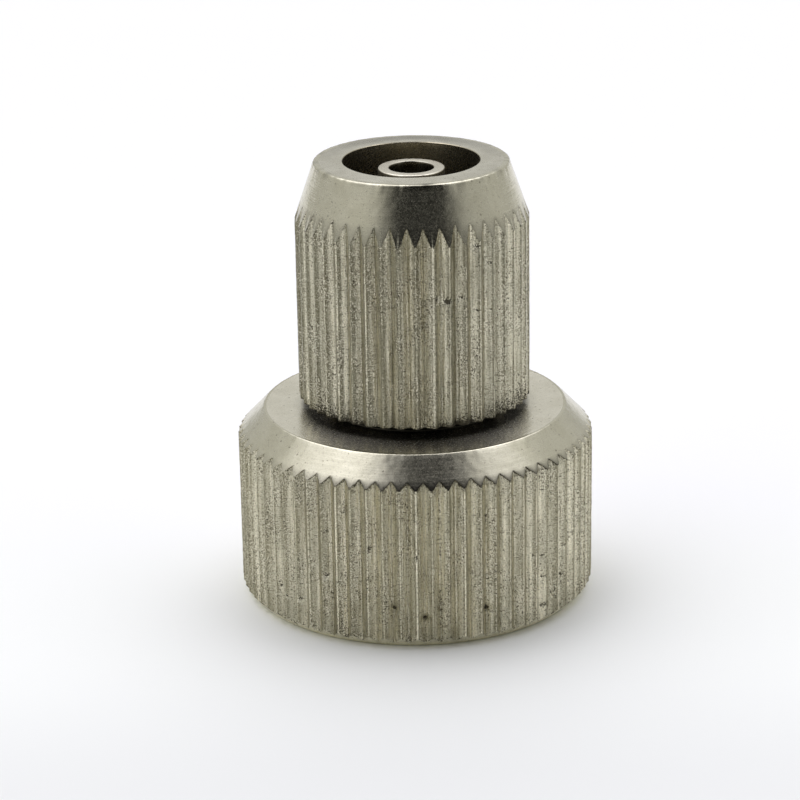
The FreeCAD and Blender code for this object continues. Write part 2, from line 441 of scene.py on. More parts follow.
def knurl_columns(random, radius, teeth, turn, crest_half, crest_spread, place_spread, slope):
    """Angles of the knurl's columns and how deep each one lies below the turned outline."""
    pitch = 2 * math.pi * radius / teeth
    places = np.arange(teeth) * pitch + random.uniform(-1, 1, teeth) * place_spread
    halves = crest_half + random.uniform(-1, 1, teeth) * crest_spread
    hollows = random.uniform(0.0, LIP_HOLLOW, teeth)
    arcs = []
    depths = []
    for tooth in range(teeth):
        following = (tooth + 1) % teeth
        left = places[tooth]
        right = places[following] + (pitch * teeth if following == 0 else 0)
        left_edge = left + halves[tooth]
        right_edge = right - halves[following]
        root = (left_edge + right_edge) / 2
        half = root - left_edge
        deepest = half * slope
        bends = random.uniform(-0.05, 0.05, 6)
        steps = [(left, hollows[tooth]), ((left + left_edge - LIP_EDGE) / 2, hollows[tooth] * 0.8)]
        steps += [(left_edge - LIP_EDGE, 0.0), (left_edge + LIP_EDGE, LIP_EDGE * 0.8)]
        for share, bend in zip((0.25, 0.5, 0.75), bends):
            steps.append((left_edge + half * share, deepest * (share + bend)))
        steps.append((root - VALLEY_EDGE, deepest - VALLEY_EDGE * 0.85))
        steps.append((root, deepest - VALLEY_EDGE * 0.4))
        steps.append((root + VALLEY_EDGE, deepest - VALLEY_EDGE * 0.85))
        for share, bend in zip((0.75, 0.5, 0.25), bends[3:]):
            steps.append((right_edge - half * share, deepest * (share + bend)))
        steps += [(right_edge - LIP_EDGE, LIP_EDGE * 0.8), (right_edge + LIP_EDGE, 0.0)]
        steps.append(((right_edge + LIP_EDGE + right) / 2, hollows[following] * 0.8))
        arcs += [step[0] for step in steps]
        depths += [step[1] for step in steps]
    angles = np.array(arcs) / radius + math.radians(turn - 90)
    return angles, np.array(depths)


def wall_shares(rows, close, fine_low, fine_high, fine_rows):
    """Shares of a wall's height, with extra rows close to both ends and in the stretch that has dents."""
    even = np.linspace(8 * close, 1 - 8 * close, rows)
    even = even[(even < fine_low) | (even > fine_high)]
    fine = np.linspace(fine_low, fine_high, fine_rows)
    middle = np.sort(np.concatenate([even, fine]))
    return np.concatenate([[0, close, 3 * close], middle, [1 - 3 * close, 1 - close, 1]])


def undercut(depths, shares, depth):
    """Step under the turned edge, deepest in the grooves, where the turning tool folded metal over them."""
    groove = np.clip(depths / depths.max(), 0, 1)[None, :]
    step = np.zeros(len(shares))
    step[-3:-1] = (depth / 2, depth)
    return step[:, None] * (0.3 + 0.7 * np.sqrt(groove))


def knurl_skin(random, radius, teeth, angles, depths, shares, worn, ripple, ripple_rows, fold):
    """Radius at every share of the height and every angle, with worn stretches, ripples and a folded edge."""
    skin = radius - np.repeat(depths[None, :], len(shares), 0)
    skin -= worn * (1 + grid_noise(random, teeth * 8, 3, angles, shares)) / 2
    skin += ripple * grid_noise(random, teeth * 5, ripple_rows, angles, shares)
    skin -= undercut(depths, shares, fold)
    return np.minimum(skin, radius - SKIN_GAP)


def column_shades(random, tooth_light_and_shade, teeth, angles, shares):
    """Shade of every point of a knurled wall: painted light and shade in each tooth, and streaks along the
    grooves.
    """
    columns = len(tooth_light_and_shade)
    in_ridge = np.tile(np.arange(columns) < RIDGE_COLUMNS, teeth)
    ridges = np.repeat(random.uniform(-0.25, 0.25, teeth), columns) * in_ridge
    flanks = np.repeat(random.uniform(-0.08, 0.08, teeth * 2), columns // 2)
    streaks = random.uniform(-0.18, 0.18, teeth * columns)
    pattern = np.tile(tooth_light_and_shade, teeth) + np.roll(ridges, -(RIDGE_COLUMNS // 2)) + flanks + streaks
    waver = grid_noise(random, teeth * columns, 5, angles, shares) * 0.15
    fade = 0.9 + 0.45 * grid_noise(random, teeth * 4, 11, angles, shares)
    return np.clip(0.5 + pattern[None, :] * fade + waver, 0, 1)


def patchy(random, angles, least, most):
    """A value for every angle, least for most of the turn and up to most in some patches."""
    swell = np.clip(edge_noise(random, 9, angles) * 1.6 - 0.2, 0, 1)
    return least + (most - least) * swell


def edge_shade_and_dirt(heights, low, high, low_reach, high_reach, low_most, high_most):
    """Painted shadow under a knurled wall's turned edge and painted shade with dirt at its foot, with the
    most at each end and how far it reaches.
    """
    at_top = high_most * np.exp(-(high[None, :] - heights) / high_reach)
    at_bottom = low_most * np.exp(-(heights - low[None, :]) / low_reach)
    return np.clip(at_top + at_bottom, 0, 1)


def across_at(angles, at_angle, radius):
    """Distance round the axis from a place in degrees from the front to each angle."""
    return ((angles - math.radians(at_angle - 90) + math.pi) % (2 * math.pi) - math.pi)[None, :] * radius


def bell_at(angles, at_angle, reach, power=2):
    """Bell curve over the angles round a place in degrees from the front, with its reach in radians."""
    return np.exp(-((across_at(angles, at_angle, 1.0)[0] / reach) ** power))


def stain(dirt_and_shade, angles, heights, radius, at_angle, at_height, width, reach, strength):
    """Adds a dark stain with its own width round the wall and reach along the grooves."""
    across = across_at(angles, at_angle, radius) / width
    dirt_and_shade += strength * np.exp(-(across ** 2 + ((heights - at_height) / reach) ** 2))


def dent(skin, dirt_and_shade, shades, angles, heights, radius, at_angle, at_height, width, depth):
    """Presses a small round hollow into a skin, with painted shade in its upper half and a painted highlight
    below it.
    """
    across = across_at(angles, at_angle, radius) ** 2
    skin -= depth * np.exp(-((across + (heights - at_height) ** 2) / width ** 2))
    shaded_part = (heights - at_height - width * 0.2) / 0.6
    dirt_and_shade += 14 * depth * np.exp(-((across + shaded_part ** 2) / (width * 0.6) ** 2))
    lit_lip = (heights - at_height + width * 0.75) / 0.7
    shades += 8 * depth * np.exp(-((across + lit_lip ** 2) / (width * 0.75) ** 2))


def mark_wall(skin, heights, dirt_and_shade, shades, angles, radius, stains, dents):
    """Adds its stains and dents to a knurled wall."""
    for place in stains:
        stain(dirt_and_shade, angles, heights, radius, *place)
    for place in dents:
        dent(skin, dirt_and_shade, shades, angles, heights, radius, *place)


def wall_rings(skin, heights, dirt_and_shade, shades, angles, knurl, turned):
    """Rings of a knurled wall, from the foot to the turned edge."""
    slots = [knurl] * (len(skin) - 1) + [turned]
    return [ring(angles, *row) for row in zip(skin, heights, slots, dirt_and_shade, shades)]


# Material tools


def new_node(tree, kind, values=(), **settings):
    """New node with these settings. Each value is a number for an input or an output that feeds it."""
    node = tree.nodes.new(kind)
    for key, value in settings.items():
        setattr(node, key, value)
    for key, value in dict(values).items():
        if isinstance(value, bpy.types.NodeSocket):
            tree.links.new(value, node.inputs[key])
        else:
            node.inputs[key].default_value = value
    return node


def math_node(tree, operation, first, second, clamp=False):
    node = new_node(tree, "ShaderNodeMath", {0: first, 1: second}, operation=operation, use_clamp=clamp)
    return node.outputs[0]


def plus(tree, first, second):
    return math_node(tree, "ADD", first, second)


def minus(tree, first, second):
    return math_node(tree, "SUBTRACT", first, second)


def times(tree, first, second):
    return math_node(tree, "MULTIPLY", first, second)


def larger(tree, first, second):
    return math_node(tree, "MAXIMUM", first, second)


def vector_plus(tree, first, second):
    return new_node(tree, "ShaderNodeVectorMath", {0: first, 1: second}, operation="ADD").outputs[0]


def vector_times(tree, vector, factors):
    return new_node(tree, "ShaderNodeVectorMath", {0: vector, 1: factors}, operation="MULTIPLY").outputs[0]


def noise(tree, vector, scale, detail, roughness):
    values = {"Vector": vector, "Scale": scale, "Detail": detail, "Roughness": roughness}
    return new_node(tree, "ShaderNodeTexNoise", values).outputs["Fac"]


def stretched_noise(tree, place, stretch, scale, detail, roughness):
    """Noise whose three directions are scaled by these factors."""
    return noise(tree, vector_times(tree, place, stretch), scale, detail, roughness)


def ramp(tree, value, low, high, to_low=0.0, to_high=1.0):
    """Soft step from to_low at the low value to to_high at the high one."""
    values = {"Value": value, "From Min": low, "From Max": high, "To Min": to_low, "To Max": to_high}
    return new_node(tree, "ShaderNodeMapRange", values, interpolation_type="SMOOTHSTEP").outputs["Result"]


def mix_colour(tree, factor, first, second):
    """The first colour where the factor is 0 and the second where it is 1."""
    node = tree.nodes.new("ShaderNodeMix")
    node.data_type = "RGBA"
    for socket, value in ((node.inputs[0], factor), (node.inputs[6], first), (node.inputs[7], second)):
        if isinstance(value, bpy.types.NodeSocket):
            tree.links.new(value, socket)
        elif isinstance(value, tuple):
            socket.default_value = (*value, 1)
        else:
            socket.default_value = value
    return node.outputs[2]


def new_material(name):
    material = bpy.data.materials.new(name)
    material.use_nodes = True
    tree = material.node_tree
    tree.nodes.clear()
    shader = tree.nodes.new("ShaderNodeBsdfPrincipled")
    output = tree.nodes.new("ShaderNodeOutputMaterial")
    tree.links.new(shader.outputs[0], output.inputs[0])
    return material, tree, shader


def finish_shader(tree, shader, tone, roughness):
    tree.links.new(tone, shader.inputs["Base Color"])
    tree.links.new(roughness, shader.inputs["Roughness"])


def add_bump(tree, shader, height, strength, depth):
    """Relief from a height. Depth is the size in millimetres of a height of 1."""
    bump = new_node(tree, "ShaderNodeBump", {"Height": height, "Strength": strength, "Distance": depth * MM})
    tree.links.new(bump.outputs[0], shader.inputs["Normal"])


def place_in_mm(tree):
    coordinates = tree.nodes.new("ShaderNodeTexCoord").outputs["Object"]
    return vector_times(tree, coordinates, (1000, 1000, 1000))


def mesh_look(tree, name):
    return new_node(tree, "ShaderNodeAttribute", attribute_name=name).outputs["Fac"]


def specks(tree, place, scale, share, size, wobble):
    """Irregular little pits: 1 inside a pit and 0 outside. Share is the part of the cells that have one."""
    drift_values = {"Vector": place, "Scale": scale * 2.2, "Detail": 1.0}
    drift = new_node(tree, "ShaderNodeTexNoise", drift_values).outputs["Color"]
    moved = vector_plus(tree, place, vector_times(tree, drift, (wobble, wobble, wobble)))
    cells = new_node(tree, "ShaderNodeTexVoronoi", {"Vector": moved, "Scale": scale, "Randomness": 1.0})
    random = new_node(tree, "ShaderNodeSeparateColor", {0: cells.outputs["Color"]}).outputs
    chosen = ramp(tree, random[0], 1 - share, 1 - share * 0.8)
    reach = ramp(tree, random[1], 0.0, 1.0, size * 0.45, size)
    from_middle = math_node(tree, "DIVIDE", cells.outputs["Distance"], reach)
    depth = math_node(tree, "SUBTRACT", 1.0, from_middle, clamp=True)
    return times(tree, chosen, ramp(tree, depth, 0.0, 0.6))


# Colours of dirt, wear and painted shade on the knurls and on the turned faces
KNURL_PATCH = (0.42, 0.42, 0.33)
KNURL_BRIGHT_GRAIN = (0.82, 0.77, 0.62)
KNURL_DARK_GRAIN = (0.17, 0.15, 0.10)
KNURL_PIT = (0.06, 0.05, 0.035)
KNURL_TICK = (0.13, 0.115, 0.075)
KNURL_DIRT_AND_SHADE = (0.045, 0.04, 0.028)
TURNED_GRAIN = (0.34, 0.31, 0.24)
TURNED_PIT = (0.16, 0.14, 0.10)
TURNED_DIRT_AND_SHADE = (0.03, 0.027, 0.02)
RUBBER_DARK = (0.025, 0.025, 0.024)
RUBBER_LIGHT = (0.05, 0.049, 0.047)


def knurled_nickel(name, light, dark):
    """Dull nickel on a rolled knurl: streaks along the grooves, grain, pits, cross ticks, dirt, and painted
    light and shade.
    """
    material, tree, shader = new_material(name)
    place = place_in_mm(tree)
    streaks = stretched_noise(tree, place, (1, 1, 0.03), 4.0, 3.0, 0.75)
    fine_streaks = stretched_noise(tree, place, (1, 1, 0.03), 10.0, 2.0, 0.7)
    grain = stretched_noise(tree, place, (1, 1, 0.85), 16.0, 1.0, 0.7)
    patches = stretched_noise(tree, place, (1, 1, 0.45), 0.8, 2.0, 0.5)
    clusters = stretched_noise(tree, place, (1, 1, 0.6), 0.9, 2.0, 0.6)
    blots = stretched_noise(tree, place, (1, 1, 1.1), 8.0, 2.0, 0.7)
    tick_noise = stretched_noise(tree, place, (3.2, 3.2, 17.0), 1.0, 2.0, 0.6)
    crowding = ramp(tree, clusters, 0.42, 0.62, -0.05, 0.03)
    pits = ramp(tree, plus(tree, blots, crowding), 0.646, 0.676)

    height = plus(tree, times(tree, streaks, 0.7), times(tree, grain, 0.35))
    height = plus(tree, height, times(tree, fine_streaks, 0.4))
    height = minus(tree, height, times(tree, pits, 0.5))
    add_bump(tree, shader, height, 1.0, 0.06)

    # The mesh's shade paints light and shade on the teeth, and a painted highlight on the lips of dents.
    tone = mix_colour(tree, ramp(tree, mesh_look(tree, "shade"), 0.05, 0.95), dark, light)
    tone = mix_colour(tree, ramp(tree, fine_streaks, 0.46, 0.62, 0.0, 0.4), tone, dark)
    tone = mix_colour(tree, ramp(tree, patches, 0.35, 0.7, 0.0, 0.2), tone, KNURL_PATCH)
    busy = ramp(tree, clusters, 0.38, 0.62, 0.35, 1.0)
    bright_grain = times(tree, ramp(tree, grain, 0.50, 0.36, 0.0, 0.55), busy)
    tone = mix_colour(tree, bright_grain, tone, KNURL_BRIGHT_GRAIN)
    dark_grain = times(tree, ramp(tree, grain, 0.51, 0.66, 0.0, 0.75), busy)
    tone = mix_colour(tree, dark_grain, tone, KNURL_DARK_GRAIN)
    tone = mix_colour(tree, times(tree, pits, 0.85), tone, KNURL_PIT)
    ticks = times(tree, ramp(tree, tick_noise, 0.60, 0.68, 0.0, 0.75), ramp(tree, patches, 0.44, 0.56))
    tone = mix_colour(tree, ticks, tone, KNURL_TICK)
    # Dirt and painted shade from the mesh, broken up by the grain.
    speckled = plus(tree, mesh_look(tree, "dirt_and_shade"), times(tree, grain, 2.2))
    tone = mix_colour(tree, ramp(tree, speckled, 1.40, 1.62, 0.0, 0.93), tone, KNURL_DIRT_AND_SHADE)
    finish_shader(tree, shader, tone, ramp(tree, grain, 0.3, 0.7, 0.25, 0.40))
    shader.inputs["Metallic"].default_value = 1.0
    return material


def turned_nickel(name, light, dark, smooth, rough, ring_depth, spread, grain_depth):
    """Satin nickel with fine rings from the lathe, faint stains, a few specks, and dirt and painted shade.

    The rings spread a reflection across them. Smooth and rough are the ends of its roughness.
    """
    material, tree, shader = new_material(name)
    tangent = new_node(tree, "ShaderNodeTangent", direction_type="RADIAL", axis="Z")
    tree.links.new(tangent.outputs[0], shader.inputs["Tangent"])
    shader.inputs["Anisotropic"].default_value = spread
    shader.inputs["Anisotropic Rotation"].default_value = 0.25

    # Rings follow the height and the distance from the axis, so that walls and faces both have them
    place = place_in_mm(tree)
    flat = vector_times(tree, place, (1, 1, 0))
    from_axis = new_node(tree, "ShaderNodeVectorMath", {0: flat}, operation="LENGTH").outputs["Value"]
    above = new_node(tree, "ShaderNodeSeparateXYZ", {0: place}).outputs[2]
    travel = plus(tree, above, times(tree, from_axis, 0.37))
    lift = new_node(tree, "ShaderNodeCombineXYZ", {2: travel}).outputs[0]
    ring_place = vector_plus(tree, flat, lift)
    rings = stretched_noise(tree, ring_place, (0.35, 0.35, 9.0), 1.0, 3.0, 0.6)
    fine_rings = stretched_noise(tree, ring_place, (0.9, 0.9, 20.0), 1.0, 1.0, 0.5)
    stains = noise(tree, place, 0.7, 3.0, 0.6)
    grain = noise(tree, place, 9.0, 3.0, 0.65)
    waves = noise(tree, place, 1.7, 1.0, 0.4)
    pits = specks(tree, place, 4.6, 0.25, 0.32, 0.1)

    height = plus(tree, times(tree, rings, 0.7), times(tree, fine_rings, 0.3))
    height = plus(tree, height, times(tree, grain, grain_depth))
    height = plus(tree, height, times(tree, waves, 1.6))
    height = minus(tree, height, times(tree, pits, 0.15))
    add_bump(tree, shader, height, 1.0, ring_depth)

    tone = mix_colour(tree, ramp(tree, stains, 0.35, 0.65), dark, light)
    tone = mix_colour(tree, ramp(tree, fine_rings, 0.35, 0.65, 0.0, 0.25), tone, dark)
    tone = mix_colour(tree, ramp(tree, grain, 0.52, 0.68, 0.0, 0.4), tone, TURNED_GRAIN)
    tone = mix_colour(tree, times(tree, pits, 0.65), tone, TURNED_PIT)
    # Dirt and painted shade from the mesh.
    tone = mix_colour(tree, times(tree, mesh_look(tree, "dirt_and_shade"), 0.92), tone, TURNED_DIRT_AND_SHADE)
    finish_shader(tree, shader, tone, ramp(tree, grain, 0.3, 0.7, smooth, rough))
    shader.inputs["Metallic"].default_value = 1.0
    return material


def black_rubber(name):
    """Matt moulded rubber with a fine grain."""
    material, tree, shader = new_material(name)
    grain = noise(tree, place_in_mm(tree), 6.0, 4.0, 0.6)
    add_bump(tree, shader, grain, 0.6, 0.03)
    tone = mix_colour(tree, ramp(tree, grain, 0.3, 0.7), RUBBER_DARK, RUBBER_LIGHT)
    finish_shader(tree, shader, tone, ramp(tree, grain, 0.3, 0.7, 0.6, 0.8))
    return material


union_knurl = knurled_nickel("union_knurl_nickel", (0.93, 0.88, 0.69), (0.27, 0.25, 0.165))
clamp_knurl = knurled_nickel("clamp_knurl_nickel", (0.84, 0.795, 0.62), (0.18, 0.168, 0.108))
turned_face = turned_nickel(
    "turned_nickel", light=(0.65, 0.625, 0.495), dark=(0.60, 0.575, 0.445),
    smooth=0.20, rough=0.28, ring_depth=0.010, spread=0.4, grain_depth=0.03)
faced_top = turned_nickel(
    "faced_nickel", light=(0.88, 0.845, 0.71), dark=(0.80, 0.765, 0.63),
    smooth=0.22, rough=0.28, ring_depth=0.010, spread=0.8, grain_depth=0.08)
rim_face = turned_nickel(
    "rim_nickel", light=(0.72, 0.695, 0.58), dark=(0.60, 0.575, 0.465),
    smooth=0.22, rough=0.30, ring_depth=0.010, spread=0.4, grain_depth=0.3)
inner_face = turned_nickel(
    "bored_nickel", light=(0.62, 0.56, 0.41), dark=(0.50, 0.45, 0.32),
    smooth=0.22, rough=0.30, ring_depth=0.008, spread=0.5, grain_depth=0.05)
bright_face = turned_nickel(
    "spigot_nickel", light=(0.73, 0.695, 0.58), dark=(0.64, 0.605, 0.50),
    smooth=0.26, rough=0.34, ring_depth=0.008, spread=0.3, grain_depth=0.3)
# The foot's chamfer has a lighter nickel: painted light against the shade next to the floor.
lit_foot_band = turned_nickel(
    "lit_foot_nickel", light=(0.88, 0.845, 0.68), dark=(0.76, 0.725, 0.565),
    smooth=0.55, rough=0.7, ring_depth=0.008, spread=0.2, grain_depth=0.3)
rubber = black_rubber("washer_rubber")

# Pieces


def union_wall(random, angles, depths):
    """Skin, heights, dirt and painted shade, and shades of the union nut's knurled wall."""
    shares = wall_shares(rows=24, close=0.007, fine_low=0.06, fine_high=0.46, fine_rows=38)
    skin = knurl_skin(random, UNION_RADIUS, UNION_TEETH, angles, depths, shares, worn=0.020,
                      ripple=0.010, ripple_rows=26, fold=0.06)
    low = skin[0] - UNION_FOOT_RADIUS
    high = UNION_HEIGHT - (skin[-1] - UNION_TOP_RADIUS) * UNION_TOP_SLOPE
    heights = low[None, :] + (high - low)[None, :] * shares[:, None]
    # Painted shade and patches of dirt along the foot; painted shadow under the turned edge, strongest near
    # the front.
    low_reach = patchy(random, angles, least=0.08, most=0.35)
    low_most = patchy(random, angles, least=0.2, most=0.6)
    high_most = 0.15 + 0.85 * bell_at(angles, UNION_EDGE_SHADOW_ANGLE, UNION_EDGE_SHADOW_REACH, power=4)
    dirt_and_shade = edge_shade_and_dirt(heights, low, high, low_reach, high_reach=0.075, low_most=low_most,
                       high_most=high_most)
    shades = column_shades(random, UNION_TOOTH_LIGHT_AND_SHADE, UNION_TEETH, angles, shares)
    mark_wall(skin, heights, dirt_and_shade, shades, angles, UNION_RADIUS, UNION_STAINS, UNION_DENTS)
    return skin, heights, dirt_and_shade, shades


def union_top(random, angles, coarse, turned, faced):
    """Rings of the union nut's top chamfer, its worn edge and its flat top."""
    wear = UNION_EDGE_WEAR * edge_noise(random, 150, angles)
    rings = []
    for radius in UNION_CHAMFER_RADII:
        height = UNION_HEIGHT - (radius - UNION_TOP_RADIUS) * UNION_TOP_SLOPE
        rings.append(ring(angles, radius, height, turned))
    edge = [
        (UNION_TOP_RADIUS + UNION_EDGE_STEP, UNION_HEIGHT - UNION_EDGE_STEP * UNION_TOP_SLOPE),
        (UNION_TOP_RADIUS, UNION_HEIGHT, UNION_EDGE_ROUNDING),
        (UNION_FACE_RADIUS, UNION_HEIGHT),
    ]
    for radius, height in turned_outline(edge):
        rings.append(ring(angles, radius + wear, height, turned))
    # The flat top gets painted shade next to the clamp nut, darkest at the neck hole.
    for radius, dirt_and_shade in UNION_FACE_SHADE:
        rings.append(ring(coarse, radius, UNION_HEIGHT, faced, dirt_and_shade))
    return rings


def union_inside(coarse, inner):
    """Rings of the neck hole, the shoulder, the washer's groove and the pipe thread, from the top down."""
    inside = [
        (NECK_HOLE_RADIUS, UNION_HEIGHT - NECK_HOLE_EDGE),
        (NECK_HOLE_RADIUS, SHOULDER_HEIGHT),
        (TAP_RADIUS, SHOULDER_HEIGHT),
        (TAP_RADIUS, GROOVE_TOP, GROOVE_ROUNDING),
        (GROOVE_RADIUS, GROOVE_TOP),
        (GROOVE_RADIUS, GROOVE_BOTTOM),
        (TAP_RADIUS + GROOVE_LIP, GROOVE_BOTTOM),
    ]
    rings = [ring(coarse, radius, height, inner) for radius, height in turned_outline(inside)]

    def tapped(at, height):
        radius = thread_radius(at, height, PIPE_THREAD_PITCH, PIPE_THREAD_RADIUS, TAP_RADIUS,
                               PIPE_CREST_SHARE, PIPE_ROOT_SHARE)
        return np.maximum(radius, MOUTH_RADIUS - height)

    thread = helix_rings(coarse, 0.0, GROOVE_BOTTOM, PIPE_THREAD_PITCH, PIPE_THREAD_ROWS, tapped, inner)
    return rings + downwards(thread)


def union_nut():
    """Knurled union nut with a real pipe thread inside."""
    knurl, turned, inner, faced, foot = 0, 1, 2, 3, 4
    random = np.random.default_rng(UNION_SEED)
    angles, depths = knurl_columns(random, UNION_RADIUS, UNION_TEETH, UNION_TURN, crest_half=0.036,
                                   crest_spread=0.012, place_spread=0.022, slope=0.93)
    coarse = angles[::UNION_COARSE]
    rings = []
    for out, height in UNION_FOOT_STEPS:
        rings.append(ring(angles, UNION_FOOT_RADIUS + out, height, foot if height > 0 else turned))
    rings += wall_rings(*union_wall(random, angles, depths), angles, knurl, turned)
    rings += union_top(random, angles, coarse, turned, faced)
    rings += union_inside(coarse, inner)
    rings.append(ring(coarse, MOUTH_RADIUS + MOUTH_RIM, 0, turned))
    rings.append(ring(coarse, UNION_BASE_RADIUS, 0, turned))
    for radius in UNION_BASE_FINE_RADII:
        rings.append(ring(angles, radius, 0, turned))
    return rings, (union_knurl, turned_face, inner_face, faced_top, lit_foot_band)


def clamp_wall(random, angles, depths):
    """Skin, heights, dirt and painted shade, and shades of the clamp nut's knurled wall."""
    shares = wall_shares(rows=24, close=0.006, fine_low=0.44, fine_high=0.97, fine_rows=48)
    skin = knurl_skin(random, CLAMP_RADIUS, CLAMP_TEETH, angles, depths, shares, worn=0.022,
                      ripple=0.011, ripple_rows=28, fold=0.015)
    low = CLAMP_BOTTOM + np.maximum(skin[0] - CLAMP_FOOT_RADIUS, 0)
    high = CLAMP_NOSE_BOTTOM + (CLAMP_RADIUS - skin[-1]) * NOSE_SLOPE
    heights = low[None, :] + (high - low)[None, :] * shares[:, None]
    # Painted shade along the foot, by the gap, and painted shadow under the turned edge.
    low_reach = patchy(random, angles, least=0.05, most=0.2)
    dirt_and_shade = edge_shade_and_dirt(heights, low, high, low_reach, high_reach=0.06, low_most=0.6, high_most=0.45)
    shades = column_shades(random, CLAMP_TOOTH_LIGHT_AND_SHADE, CLAMP_TEETH, angles, shares)
    mark_wall(skin, heights, dirt_and_shade, shades, angles, CLAMP_RADIUS, CLAMP_STAINS, CLAMP_DENTS)
    return skin, heights, dirt_and_shade, shades


def clamp_top(random, angles, coarse, turned, faced):
    """Rings of the clamp nut's conical nose, its worn edge and its flat rim."""
    wear = RIM_WEAR * edge_noise(random, 130, angles)
    worn = 0.75 * bell_at(angles, RIM_WORN_ANGLE, RIM_WORN_REACH / RIM_RADIUS)
    worn = np.clip(worn + 0.35 * edge_noise(random, 110, angles), 0, 1)
    rings = []
    for height in CLAMP_NOSE_HEIGHTS:
        radius = CLAMP_RADIUS - (height - CLAMP_NOSE_BOTTOM) / NOSE_SLOPE
        rings.append(ring(angles, radius, height, turned))
    edge = [
        (RIM_RADIUS + RIM_EDGE_STEP / NOSE_SLOPE, RIM_HEIGHT - RIM_EDGE_STEP),
        (RIM_RADIUS, RIM_HEIGHT, RIM_ROUNDING),
        (RIM_FACE_RADIUS, RIM_HEIGHT),
    ]
    for radius, height in turned_outline(edge, 4):
        dirt_and_shade = worn if radius < RIM_WORN_RADIUS else 0.0
        rings.append(ring(angles, radius + wear, height, turned, dirt_and_shade))
    # The rim's face gets painted shade, darkest at the back.
    for at, radius in ((angles, RIM_FINE_RADIUS), (coarse, RIM_COARSE_RADIUS)):
        rings.append(ring(at, radius, RIM_HEIGHT, faced, 0.05 + 0.5 * np.clip(np.sin(at), 0, 1)))
    return rings


def clamp_inside(coarse, inner):
    """Rings of the mouth, the cone that grips the hose, the chamber and the thread, from the top down."""
    inside = [
        (CLAMP_MOUTH_RADIUS, RIM_HEIGHT - CLAMP_MOUTH_BEVEL),
        (CLAMP_MOUTH_RADIUS, CLAMP_CONE_TOP),
        (CHAMBER_RADIUS, CHAMBER_TOP),
        (CHAMBER_RADIUS, CLAMP_THREAD_TOP),
    ]
    # Painted shade inside the mouth, lightest at the back.
    dirt_and_shade = 0.45 - 0.42 * bell_at(coarse, MOUTH_LIT_ANGLE, MOUTH_LIT_REACH)
    rings = [ring(coarse, CLAMP_MOUTH_RADIUS + CLAMP_MOUTH_BEVEL, RIM_HEIGHT, inner)]
    for radius, height in turned_outline(inside):
        rings.append(ring(coarse, radius, height, inner, dirt_and_shade))

    def tapped(at, height):
        radius = thread_radius(at, height, CLAMP_THREAD_PITCH, CLAMP_THREAD_RADIUS, CLAMP_THREAD_ROOT,
                               THREAD_CREST_SHARE, THREAD_ROOT_SHARE)
        mouth = CLAMP_THREAD_RADIUS + 2 * RUNNING_GAP - (height - CLAMP_BOTTOM)
        return np.maximum(radius + RUNNING_GAP, mouth)

    thread = helix_rings(coarse, CLAMP_BOTTOM, CLAMP_THREAD_TOP, CLAMP_THREAD_PITCH, CLAMP_THREAD_ROWS,
                         tapped, inner)
    return rings + downwards(thread)


def clamp_nut():
    """Slim knurled nut with the conical nose, its inner cone and its fine thread."""
    knurl, turned, inner, faced = 0, 1, 2, 3
    random = np.random.default_rng(CLAMP_SEED)
    angles, depths = knurl_columns(random, CLAMP_RADIUS, CLAMP_TEETH, CLAMP_TURN, crest_half=0.048,
                                   crest_spread=0.016, place_spread=0.034, slope=0.90)
    coarse = angles[::CLAMP_COARSE]
    skin, heights, dirt_and_shade, shades = clamp_wall(random, angles, depths)
    base_radius = np.minimum(skin[0], CLAMP_FOOT_RADIUS) - CLAMP_FOOT_INSET
    # The clamp nut's underside is fully dark: painted shade in the gap over the union nut.
    rings = [ring(angles, base_radius, CLAMP_BOTTOM, turned, 1.0)]
    rings += wall_rings(skin, heights, dirt_and_shade, shades, angles, knurl, turned)
    rings += clamp_top(random, angles, coarse, turned, faced)
    rings += clamp_inside(coarse, inner)
    # Painted shade on the clamp nut's underside.
    rings.append(ring(coarse, CLAMP_BASE_RADIUS, CLAMP_BOTTOM, turned, 1.0))
    rings.append(ring(angles, CLAMP_BASE_FINE_RADIUS, CLAMP_BOTTOM, turned, 1.0))
    return rings, (clamp_knurl, turned_face, inner_face, rim_face)


def circle(count):
    """Angles of evenly spaced points round the axis."""
    return np.arange(count) / count * 2 * math.pi


